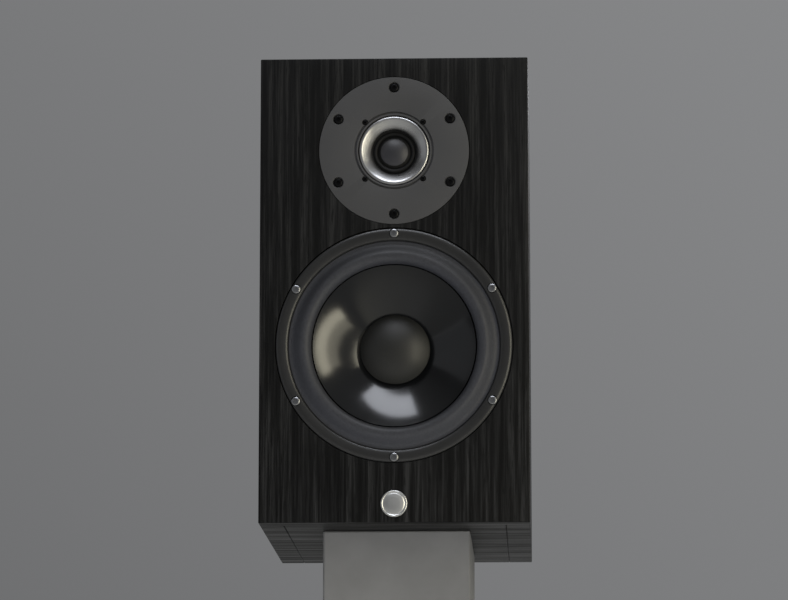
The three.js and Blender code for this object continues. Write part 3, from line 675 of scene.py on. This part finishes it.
dome = {"radius": 12.3, "base": 9, "rise": 4.4, "shell": 0.5}
# A near-black lap over the dome's edge: painted shade standing in for the shade on the dome's steep
# edge.
paintedShadeLap = {"from": 10.2, "thickness": 0.14, "start": 0.03, "slope": 0.4}
silkRoll = {
    "middle": 14.2, "base": 8.6, "radius": 1.5, "inside": 1.1, "edge": (12.6, 9.3),
    "lip": (16.2, 24), "lipDepths": (-0.25, 0.1), "moving": (12.7, 15.7),
}


def capProfile(radius, base, rise, shell, steps):
    # Two arcs of one sphere's cap, the outer face out from the axis and the inner face back.
    curve = (radius ** 2 + rise ** 2) / (2 * rise)
    centre = (0, base - rise + curve)
    edge = math.degrees(math.acos(radius / curve))
    outside = arc(centre, curve, 90, edge, steps)
    inside = arc(centre, curve - shell, edge, 90, steps)
    profile = np.vstack([outside, inside])
    profile[[0, -1], 0] = 0
    return profile


def makeTweeterDome():
    radius, base, rise, shell = dome.values()
    turned("silkDome", capProfile(radius, base, rise, shell, 24), tweeter, "silk", 128,
           "tweeter_dome")
    # A near-black lap lies over the dome's edge as painted shade for the shade on the dome's steep
    # edge: its section follows the dome's own arc, a depth of base - rise + curve - root(curve
    # squared - radius squared).
    curve = (radius ** 2 + rise ** 2) / (2 * rise)
    lap = np.linspace(paintedShadeLap["from"], radius, 8)
    skin = base - rise + curve - np.sqrt(curve ** 2 - lap ** 2)
    thickness = np.minimum(paintedShadeLap["thickness"],
                           paintedShadeLap["start"] + paintedShadeLap["slope"] * (lap - lap[0]))
    over = np.stack([lap, skin - thickness], -1)
    under = np.stack([lap, skin + paintedShadeLap["start"]], -1)[::-1]
    c, base, (lipIn, lipOut) = silkRoll["middle"], silkRoll["base"], silkRoll["lip"]
    front, back = (base + step for step in silkRoll["lipDepths"])
    profile = np.vstack([over, arc((c, base), silkRoll["radius"], 172, 0, 14),
                         [(lipIn, front), (lipOut, front), (lipOut, back)],
                         arc((c, back), silkRoll["inside"], 0, 180, 12), [silkRoll["edge"]],
                         under])
    # The surround's near-black colour is partly its own damped silk and partly painted shade for
    # the shaded throat.
    ringPiece = turned("silkSurround", profile, tweeter, "dampedSilkAndPaintedShade", 128)
    stretches(ringPiece, "tweeter_surround", bodyOf["tweeter_dome"], tweeter, *silkRoll["moving"])


def wound(inner, outer, low, high, wire):
    # A coil's section: a rectangle whose sides are rows of round wires, each scooped in by
    # wire (1 - |sin|) / 3 between two turns.
    corners = np.array([(inner, low), (outer, low), (outer, high), (inner, high)], float)
    sides = []
    for start, end in zip(corners, np.roll(corners, -1, 0)):
        length = np.linalg.norm(end - start)
        turns = max(int(round(length / wire)), 1)
        s = np.linspace(0, 1, turns * 4, endpoint=False)[:, None]
        inward = np.array([(start - end)[1], (end - start)[0]]) / length
        scoop = inward * wire * (1 - np.abs(np.sin(np.pi * turns * s))) / 3
        sides.append(start + (end - start) * s + scoop)
    return np.vstack(sides)


def makeTurnedSet(parts, centre, segments):
    # Plain turned parts, each with the corners of its section, the radius of its edges and a look.
    for node, (section, edge, look) in parts.items():
        profile = rounded(section, edge, closed=section[0][0] > 0)
        turned(node + "Turned", profile, centre, look, segments, node)


tweeterCoil = (12.1, 12.9, 9.3, 13.6, 0.28)  # as wound takes them
tweeterMotor = {
    "tweeter_top_plate": (((13.5, 9), (36, 9), (36, 13), (13.5, 13)), 0.5, "steel"),
    "tweeter_magnet": (((17, 13), (34, 13), (34, 23), (17, 23)), 0.8, "ferrite"),
    "tweeter_yoke": (((4, 9.8), (11.6, 9.8), (11.6, 23), (33, 23), (33, 27), (4, 27)), 0.5,
                     "steel"),
    "tweeter_rear_cup": (((0, 47), (29, 47), (31, 45), (31, 27), (29, 27), (29, 45), (0, 45)),
                         0.8, "plastic"),
}


def makeTweeterMotor():
    turned("tweeter_voice_coilTurned", wound(*tweeterCoil), tweeter, "copper", 96,
           "tweeter_voice_coil")
    makeTurnedSet(tweeterMotor, tweeter, 96)


basket = {
    # (radius, depth): the flange the listener sees, then the bowl down to the magnet and back.
    "flange": ((72.6, 3.2), (78.4, 3.2), (78.4, 1.2), (79.2, 0.1), (80.6, -0.5), (82.4, -0.82),
               (84, -0.9), (85.6, -0.78), (86.9, -0.3), (87.7, 0.5), (88, 1.5), (88, 4.6)),
    "bowl": ((79.4, 4.6), (79.4, 10), (57.5, 44), (53, 51), (53, 56), (30, 56), (30, 52.5),
             (46, 52.5), (46, 45), (52, 45), (52, 42), (72.6, 10)),
    "flangeSoft": 0.5, "bowlSoft": 0.8,
    "spokes": 6, "spokeHalfAngle": 0.14, "window": (50.5, 84, 13, 43),  # two radii, two depths
    "seal": ((80.4, 4.6), (87.6, 4.6), (87.6, 5.4), (80.4, 5.4)), "sealSoft": 0.2,
    "screws": {
        "circle": 84, "angles": sixAngles,
        "recess": ((4.3, -2.5), (4.1, -1.2), (3.7, -0.7), (3.7, 1.2), (2.1, 1.2), (2.1, 6)),
        "screw": {"head": 3.3, "shank": 1.8, "top": -0.9, "seat": 1.2, "tip": 16, "socket": 1.5}},
}


def sectorCutter(start, end, inner, outer, low, high, look):
    # A curved block between two angles, two radii and two depths.
    angle = np.linspace(start, end, 17)[:, None]
    radius = np.array([inner, outer, outer, inner])[None]
    depth = np.broadcast_to(np.array([low, low, high, high])[None], (17, 4))
    grid = np.stack([woofer[0] + mm * radius * np.cos(angle), woofer[1] + mm * depth,
                     woofer[2] + mm * radius * np.sin(angle)], -1)
    return makeMesh("drill", grid, look, False, True, capped=True)


def makeWooferFrame():
    b, paint = basket, "castFrame"
    profile = np.vstack([rounded(b["flange"], b["flangeSoft"], False),
                         rounded(b["bowl"], b["bowlSoft"], False)])
    basketPiece = turned("castBasket", profile, woofer, paint, 192)
    drills, share = [], 360 / b["spokes"]  # the windows between the spokes, then the screws
    for spoke in range(b["spokes"]):
        start = math.radians(share * spoke) + b["spokeHalfAngle"]
        end = math.radians(share * (spoke + 1)) - b["spokeHalfAngle"]
        drills.append(sectorCutter(start, end, *b["window"], paint))
    drills += recesses(b["screws"], woofer, paint, 48)
    standsFor(cutAway(basketPiece, drills), "woofer_frame")
    makeScrews(b["screws"], "wooferScrew", woofer, "brightScrew", "woofer_screw")
    seal = rounded(b["seal"], b["sealSoft"])
    turned("foamSeal", seal, woofer, "foamSeal", 128, "woofer_gasket")


cone = {"rim": 60.5, "neck": 17.3, "thickness": 1.2, "rimDepth": 3.6, "slope": 0.42,
        "bend": 0.0045}
cap = {"radius": 26, "rise": 10, "shell": 1.0, "lift": 0.3}
wooferCoil = {"former": (16.2, 16.9), "overlap": 1, "winding": (16.9, 17.5, 53, 65), "wire": 0.4}
roll = {"middle": 67.5, "radius": 5.9, "base": 2.2, "shell": 1.0, "fall": 9.5, "lip": 78.2,
        "moving": 9}
spider = {"inner": 17.5, "outer": 45, "depth": 44.2, "wave": 1.5, "waves": 2, "lip": 51.5,
          "cloth": 0.8, "movingTo": 46}


def coneDepth(radius):  # the cone steepens inwards: rim depth + slope t + bend t^2, t from the rim
    inwards = cone["rim"] - radius
    return cone["rimDepth"] + cone["slope"] * inwards + cone["bend"] * inwards ** 2


def makeWooferMoving():
    radii = np.linspace(cone["rim"], cone["neck"], 60)
    front = np.column_stack([radii, coneDepth(radii)])
    profile = np.vstack([front, (front + (0, cone["thickness"]))[::-1]])
    turned("glossCone", profile, woofer, "cone", 192, "woofer_cone")
    base = coneDepth(cap["radius"]) - cap["lift"]
    section = capProfile(cap["radius"], base, cap["rise"], cap["shell"], 40)
    turned("dustCap", section, woofer, "dustCap", 160, "woofer_dust_cap")
    # The winding goes round the former's end, without the row of points that lies on the former.
    (inside, outside), (low, high) = wooferCoil["former"], wooferCoil["winding"][2:]
    top = coneDepth(cone["neck"]) - wooferCoil["overlap"]
    winding = wound(*wooferCoil["winding"], wooferCoil["wire"])[1:136]
    coil = np.vstack([[(inside, top), (outside, top), (outside, low)], winding,
                      [(outside, high), (inside, high)]])
    turned("wooferCoil", coil, woofer, "copper", 96, "woofer_voice_coil")


def makeWooferSprings():
    # Surround: a circle's arc from the cone to the crest, then a cosine down to the lip,
    # base - radius (1 + cos(pi s)) / 2. Spider: two sine waves of cloth.
    c, r, base, shell = roll["middle"], roll["radius"], roll["base"], roll["shell"]
    s = np.linspace(0, 1, 30)[1:]
    falling = base - 0.1 - (r - 0.1) * (1 + np.cos(np.pi * s)) / 2
    profile = np.vstack([
        [(c - r - 0.2, base + 2 * shell), (c - r - 0.1, base + 0.9)],
        arc((c, base), r, 172, 90, 24), np.column_stack([c + roll["fall"] * s, falling]),
        [(roll["lip"], base - 0.1), (roll["lip"], base + shell)],
        arc((c, base + shell), r - shell, 0, 180, 30), [(c - r + shell, base + 2 * shell)]])
    ringPiece = turned("rubberSurround", profile, woofer, "rubber", 192, sharp=60)
    stretches(ringPiece, "woofer_surround", bodyOf["woofer_cone"], woofer, c - r,
              c + roll["moving"])
    k = spider
    radius = np.linspace(k["inner"], k["outer"], 48)
    turns = 2 * np.pi * k["waves"] * (radius - k["inner"]) / (k["outer"] - k["inner"])
    front = np.vstack([np.column_stack([radius, k["depth"] - k["wave"] * np.sin(turns)]),
                       [(k["lip"], k["depth"])]])
    profile = np.vstack([front, (front + (0, k["cloth"]))[::-1]])
    cloth = turned("corrugatedSpider", profile, woofer, "spider", 128, sharp=60)
    stretches(cloth, "woofer_spider", bodyOf["woofer_cone"], woofer, k["inner"], k["movingTo"])


wooferMotor = {
    "woofer_top_plate": (((18.1, 56), (50, 56), (50, 62), (18.1, 62)), 0.6, "steel"),
    "woofer_magnet": (((24, 62), (52, 62), (52, 80), (24, 80)), 1.2, "ferrite"),
    "woofer_yoke": (((6, 55), (15.6, 55), (15.6, 80), (50, 80), (50, 86), (6, 86)), 0.8, "steel"),
}


def makeWooferMotor():
    makeTurnedSet(wooferMotor, woofer, 128)


port = {  # (radius, depth from the back panel): in along the bore, round the inner flare and back
    "section": ((35, 2.5), (32.2, 1.4), (30.2, 0.1), (28.2, -2.2), (26.7, -4.9), (25.5, -8.6),
                (25, -12.5), (25, -93.5), (25.6, -97.6), (27.2, -101.5), (29.8, -105),
                (33, -107.5), (34.6, -105.9), (30.4, -101.1), (27.5, -91.5), (27.5, -18),
                (36.4, -2), (36.4, 0), (42, 0), (42, 1.4), (40.8, 2.5)),
    "soft": 1.6,
}


def makePort():
    profile = rounded(port["section"], port["soft"], True, 4)
    turned("portTube", profile, portPlace, "plastic", 160, "port_tube", sharp=50)


terminal = {
    "cover": (104, 70), "corner": 9, "screwInset": 6.5,
    # (inset, depth): up the hidden spigot, over the edge and across a fine groove.
    "edge": ((10.5, -4), (10.5, 0), (0, 0), (0, 2.2), (0.25, 2.7), (0.8, 3.0), (3.2, 3.0),
             (3.5, 2.4), (4.1, 2.4), (4.4, 3.0)),
    "postHole": ((4.3, -5), (4.3, 5)), "screwHole": ((1.8, 0.5), (1.8, 1.8), (3.6, 3.6)),
    "screw": ((0, 2.0), (0.95, 2.0), (0.95, 3.05), (2.4, 3.0), (2.95, 2.8), (1.6, 1.4),
              (1.4, 1.2), (1.4, -8), (0, -10)),
    "socket": 0.95,
}


def makeTerminals():
    t, plastic = terminal, "plastic"
    plate = lofted("terminalCover", t["cover"], t["corner"], t["edge"], platePlace, plastic)
    boxes = {colour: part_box(colour + "_post") for colour in ("red", "black")}
    places = {colour: ((low.x + high.x) / 2, backY, (low.z + high.z) / 2)
              for colour, (low, high) in boxes.items()}
    reachX, reachZ = (side / 2 - t["screwInset"] for side in t["cover"])
    corners = [(platePlace[0] + sx * reachX * mm, backY, platePlace[2] + sz * reachZ * mm)
               for sx in (-1, 1) for sz in (-1, 1)]
    drills = [stepDrill(t["postHole"], place, plastic, 48) for place in places.values()]
    drills += [stepDrill(t["screwHole"], place, plastic, 48) for place in corners]
    standsFor(cutAway(plate, drills), "terminal_plate")
    for index, place in enumerate(corners):
        screw = turned(f"terminalScrew{index + 1}", t["screw"], place, "blackScrew", 48,
                       shape=hexagonal(t["socket"]))
        joins(screw, bodyOf["terminal_plate"])
    for colour, place in places.items():
        makePost(colour, place)


bindingPost = {  # (radius, depth from the back panel)
    "root": ((0, -14), (2.2, -14), (2.4, -13.8), (2.4, -6), (4, -6), (4, 3), (7.2, 3), (7.6, 3.4),
             (7.6, 4.6), (7.2, 5.0)),
    "threadRadius": 3.0, "threadDepths": (5.0, 20.8), "threadCut": 0.28, "pitch": 1.0,
    "end": ((2.5, 21.5), (2.1, 21.5), (2.1, 12.5), (0, 12.5)),
    "washer": ((3.3, 5), (6.6, 5), (6.6, 6.5), (3.3, 6.5)), "soft": 0.3,
}
knob = {
    "section": ((3.3, 6.5), (7.0, 6.5), (7.4, 7.2), (7.4, 18.6), (7.0, 19.4), (6.7, 20.2),
                (6.7, 22.0), (6.2, 22.5), (3.3, 22.5)),
    "soft": 0.35, "flutes": 12, "fluteDepth": 0.7, "flutedFrom": 6.9,
}


def makePost(colour, place):
    # A threaded post with its clamp washer, and a fluted grip with a smooth collar at its end.
    b = bindingPost
    shaft = np.linspace(*b["threadDepths"], 127)
    thread = np.column_stack([np.full(127, b["threadRadius"]), shaft])

    def cutThread(angle, radius, depth):  # the crest runs round once for each pitch of depth
        groove = np.abs((depth / b["pitch"] - angle / (2 * np.pi)) % 1.0 * 2 - 1)
        onThread = np.abs(radius - b["threadRadius"]) < 0.01
        return np.where(onThread, radius - b["threadCut"] * groove, radius)

    def flute(angle, radius, depth):  # scoops of (1/2 + cos(flutes x angle) / 2) ^ 1.5
        scoop = (0.5 + 0.5 * np.cos(knob["flutes"] * angle)) ** 1.5
        fluted = (radius > knob["flutedFrom"]) * np.ones_like(depth)
        return radius - knob["fluteDepth"] * scoop * fluted

    turned(colour + "Post", np.vstack([b["root"], thread, b["end"]]), place, "brass", 56,
           colour + "_post", shape=cutThread, sharp=50)
    turned(colour + "Washer", rounded(b["washer"], b["soft"]), place, "brass", 64,
           colour + "_clamp_washer")
    turned(colour + "Knob", rounded(knob["section"], knob["soft"]), place, colour + "Knob",
           144, colour + "_knob", shape=flute, sharp=50)


lining = {
    # The axis across each pad, and the way it faces along it.
    "walls": {"left_lining": (0, 1), "right_lining": (0, -1), "rear_lining": (1, -1)},
    "points": 49, "fullness": 0.88, "ripple": 0.06,
}


def makeLinings():
    # A crowned pad against its wall: height over the wall is the thickness times
    # sqrt((1 - u^6)(1 - v^6)), with a low ripple of a few sines.
    line = np.linspace(-1, 1, lining["points"])
    u, v = np.meshgrid(line, line, indexing="ij")
    crown = np.sqrt(np.clip((1 - u ** 6) * (1 - v ** 6), 0, 1))
    ripple = lining["ripple"] * (np.sin(9 * u + 2 * v) + np.sin(7 * v - 3 * u + 1)) * crown
    swell = np.clip(crown * lining["fullness"] + ripple, 0, 1)
    for node, (normal, outward) in lining["walls"].items():
        low, high = (np.array(corner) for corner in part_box(node))
        centre, half = (low + high) / 2, (high - low) / 2
        wall = low[normal] if outward > 0 else high[normal]
        against = np.full((*u.shape, 3), wall)
        for axis, across in zip((k for k in range(3) if k != normal), (u, v)):
            against[..., axis] = centre[axis] + half[axis] * across
        crowned = against.copy()
        crowned[..., normal] = wall + outward * ((high - low)[normal] * swell)
        grid = np.concatenate([crowned, against[:, ::-1]], 1)
        pad = makeMesh(node + "Pad", grid, "wadding", False, True, sharp=80)
        standsFor(pad, node)


crossover = {
    "top": 24.6, "corner": 2, "edge": ((0.2, -1.6), (0, -1.4), (0, -0.2), (0.2, 0)),
    "feet": ((-48, -16), (48, -16), (-48, 64), (48, 64)), "footSoft": 0.3,
    "foot": ((0, 18), (3.9, 18), (3.9, 23), (0, 23)),
    "bassCoil": (10, 22, -9, 9, 1.2), "trebleCoil": (7, 15, -7, 7, 1.2),  # as wound takes them
    # In from the can's radius and from its end: a sunk face, the crimped rim, the side.
    "canEnd": ((1.6, 0.6), (1.1, 0), (0, 1.2)), "canSoft": 0.4, "resistorEdge": 0.8,
}


def makeCrossover():
    c = crossover
    low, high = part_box("crossover_board")
    centre = ((low.x + high.x) / 2, (low.y + high.y) / 2, 0)
    size = ((high.x - low.x) / mm, (high.y - low.y) / mm)
    edge = [(inset, c["top"] + depth) for inset, depth in c["edge"]]
    board = lofted("crossoverBoard", size, c["corner"], edge, centre, "board", "Z")
    standsFor(board, "crossover_board")
    for index, (x, y) in enumerate(c["feet"]):
        foot = turned(f"boardFoot{index + 1}", rounded(c["foot"], c["footSoft"], False),
                      (x * mm, y * mm, 0), "plastic", 40, way="Z")
        joins(foot, bodyOf["crossover_board"])
    for band, way in (("bass", "Z"), ("treble", "Y")):
        node = band + "_inductor"
        turned(band + "Inductor", wound(*c[band + "Coil"]), middle(node), "copper", 96, node, way)
    for node in ("bass_capacitor", "treble_capacitor"):
        low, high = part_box(node)
        radius, half = (high.z - low.z) / 2 / mm, (high.x - low.x) / 2 / mm
        end = [(radius - inset, half - depth) for inset, depth in c["canEnd"]]
        end = np.array([(0, end[0][1]), *end])
        profile = rounded(np.vstack([end * (1, -1), end[::-1]]), c["canSoft"], False)
        turned(node + "Wound", profile, middle(node), "film", 64, node, "X")
    standsFor(block("cementResistor", *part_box("resistor"), "ceramic", c["resistorEdge"]),
              "resistor")


inputRoute = [(14, 120.7, 100), (14, 111.7, 98), (15, 102, 84), (14, 98, 60), (12, 88, 38),
              (12, 70, 28.6)]
leadRoutes = {  # the CAD solids' routes, and the colours of the strands
    "woofer_lead": ([(44, -20, 27.6), (46, -34, 31.6), (47, -52, 42), (44, -70, 58), (36, -84, 72),
                     (30, -91, 80)], ("blackCable", "redCable")),
    "tweeter_lead": ([(-50, 20, 27.6), (-57, 16, 40), (-60, 18, 80), (-60, 22, 140),
                      (-54, 24, 190), (-44, 20, 222), (-42, 4, 252), (-41, -30, 272),
                      (-40, -66, 279), (-36, -98, 279.5)], ("redCable", "blackCable")),
    "input_lead_red": (inputRoute, ("redCable",)),
    "input_lead_black": ([(-x, y, z) for x, y, z in inputRoute], ("blackCable",)),
}
strands = {1: (1.6, 0), 2: (0.84, 0.85), "lay": 14}  # radius and offset of one or two, mm a turn


def smoothRoute(points, steps):
    # Catmull-Rom: each span is the cubic through its ends whose slopes are half the chord between
    # the neighbours.
    p = np.asarray(points, float)
    p = np.vstack([2 * p[0] - p[1], p, 2 * p[-1] - p[-2]])
    t = np.linspace(0, 1, steps, endpoint=False)[None, :, None]
    a, b, c, d = (p[k:len(p) - 3 + k, None] for k in range(4))
    spans = 0.5 * (2 * b + (c - a) * t + (2 * a - 5 * b + 4 * c - d) * t ** 2
                   + (3 * b - a - 3 * c + d) * t ** 3)
    return np.vstack([spans.reshape(-1, 3), p[-2]])


def cableAlong(name, route, radius, offset, phase, look):
    # A circle carried along the route, its centre winding round it at the offset once per lay.
    path = smoothRoute(route, 24)
    tangent = np.gradient(path, axis=0)
    tangent /= np.linalg.norm(tangent, axis=1, keepdims=True)
    side = np.cross(tangent, (0.92, 0.31, 0.24))  # any direction that no route runs along
    side /= np.linalg.norm(side, axis=1, keepdims=True)
    other = np.cross(tangent, side)
    travelled = np.concatenate([[0], np.cumsum(np.linalg.norm(np.diff(path, axis=0), axis=1))])
    wind = (2 * np.pi * travelled / strands["lay"] + phase)[:, None]
    centre = path + offset * (np.cos(wind) * side + np.sin(wind) * other)
    angle = np.linspace(0, 2 * np.pi, 12, endpoint=False)[None, :, None]
    circle = np.cos(angle) * side[:, None] + np.sin(angle) * other[:, None]
    grid = (centre[:, None] + radius * circle) * mm
    return makeMesh(name, grid, look, False, True, capped=True)


def makeLeads():
    for node, (route, colours) in leadRoutes.items():
        for strand, colour in enumerate(colours):
            cable = cableAlong(f"{node}Strand{strand + 1}", route, *strands[len(colours)],
                               strand * np.pi, colour)
            standsFor(cable, node)


def makeStudio():
    # The floor is a disc of three rings of points, and the plinth is a plain block.
    sides = studio["floorSides"]
    angle = np.linspace(0, 2 * np.pi, sides, endpoint=False)[:, None]
    reach = np.array([[0, 1, studio["floorRadius"]]])
    disc = np.stack([reach * np.cos(angle), reach * np.sin(angle),
                     np.full((sides, 3), studio["floorHeight"])], -1)
    ground = makeMesh("floor", disc, "floor")
    low, high = (np.array(corner) * mm for corner in studio["plinth"])
    column = block("plinth", low, high, "plinth", studio["plinthEdge"])


for step in (makeCabinet, makeBadge, makeTweeterPlate, makeTweeterHorn, makeTweeterDome,
             makeTweeterMotor, makeWooferFrame, makeWooferMoving, makeWooferSprings,
             makeWooferMotor, makePort, makeTerminals, makeLinings, makeCrossover, makeLeads,
             makeStudio):
    step()
    print("done:", step.__name__)
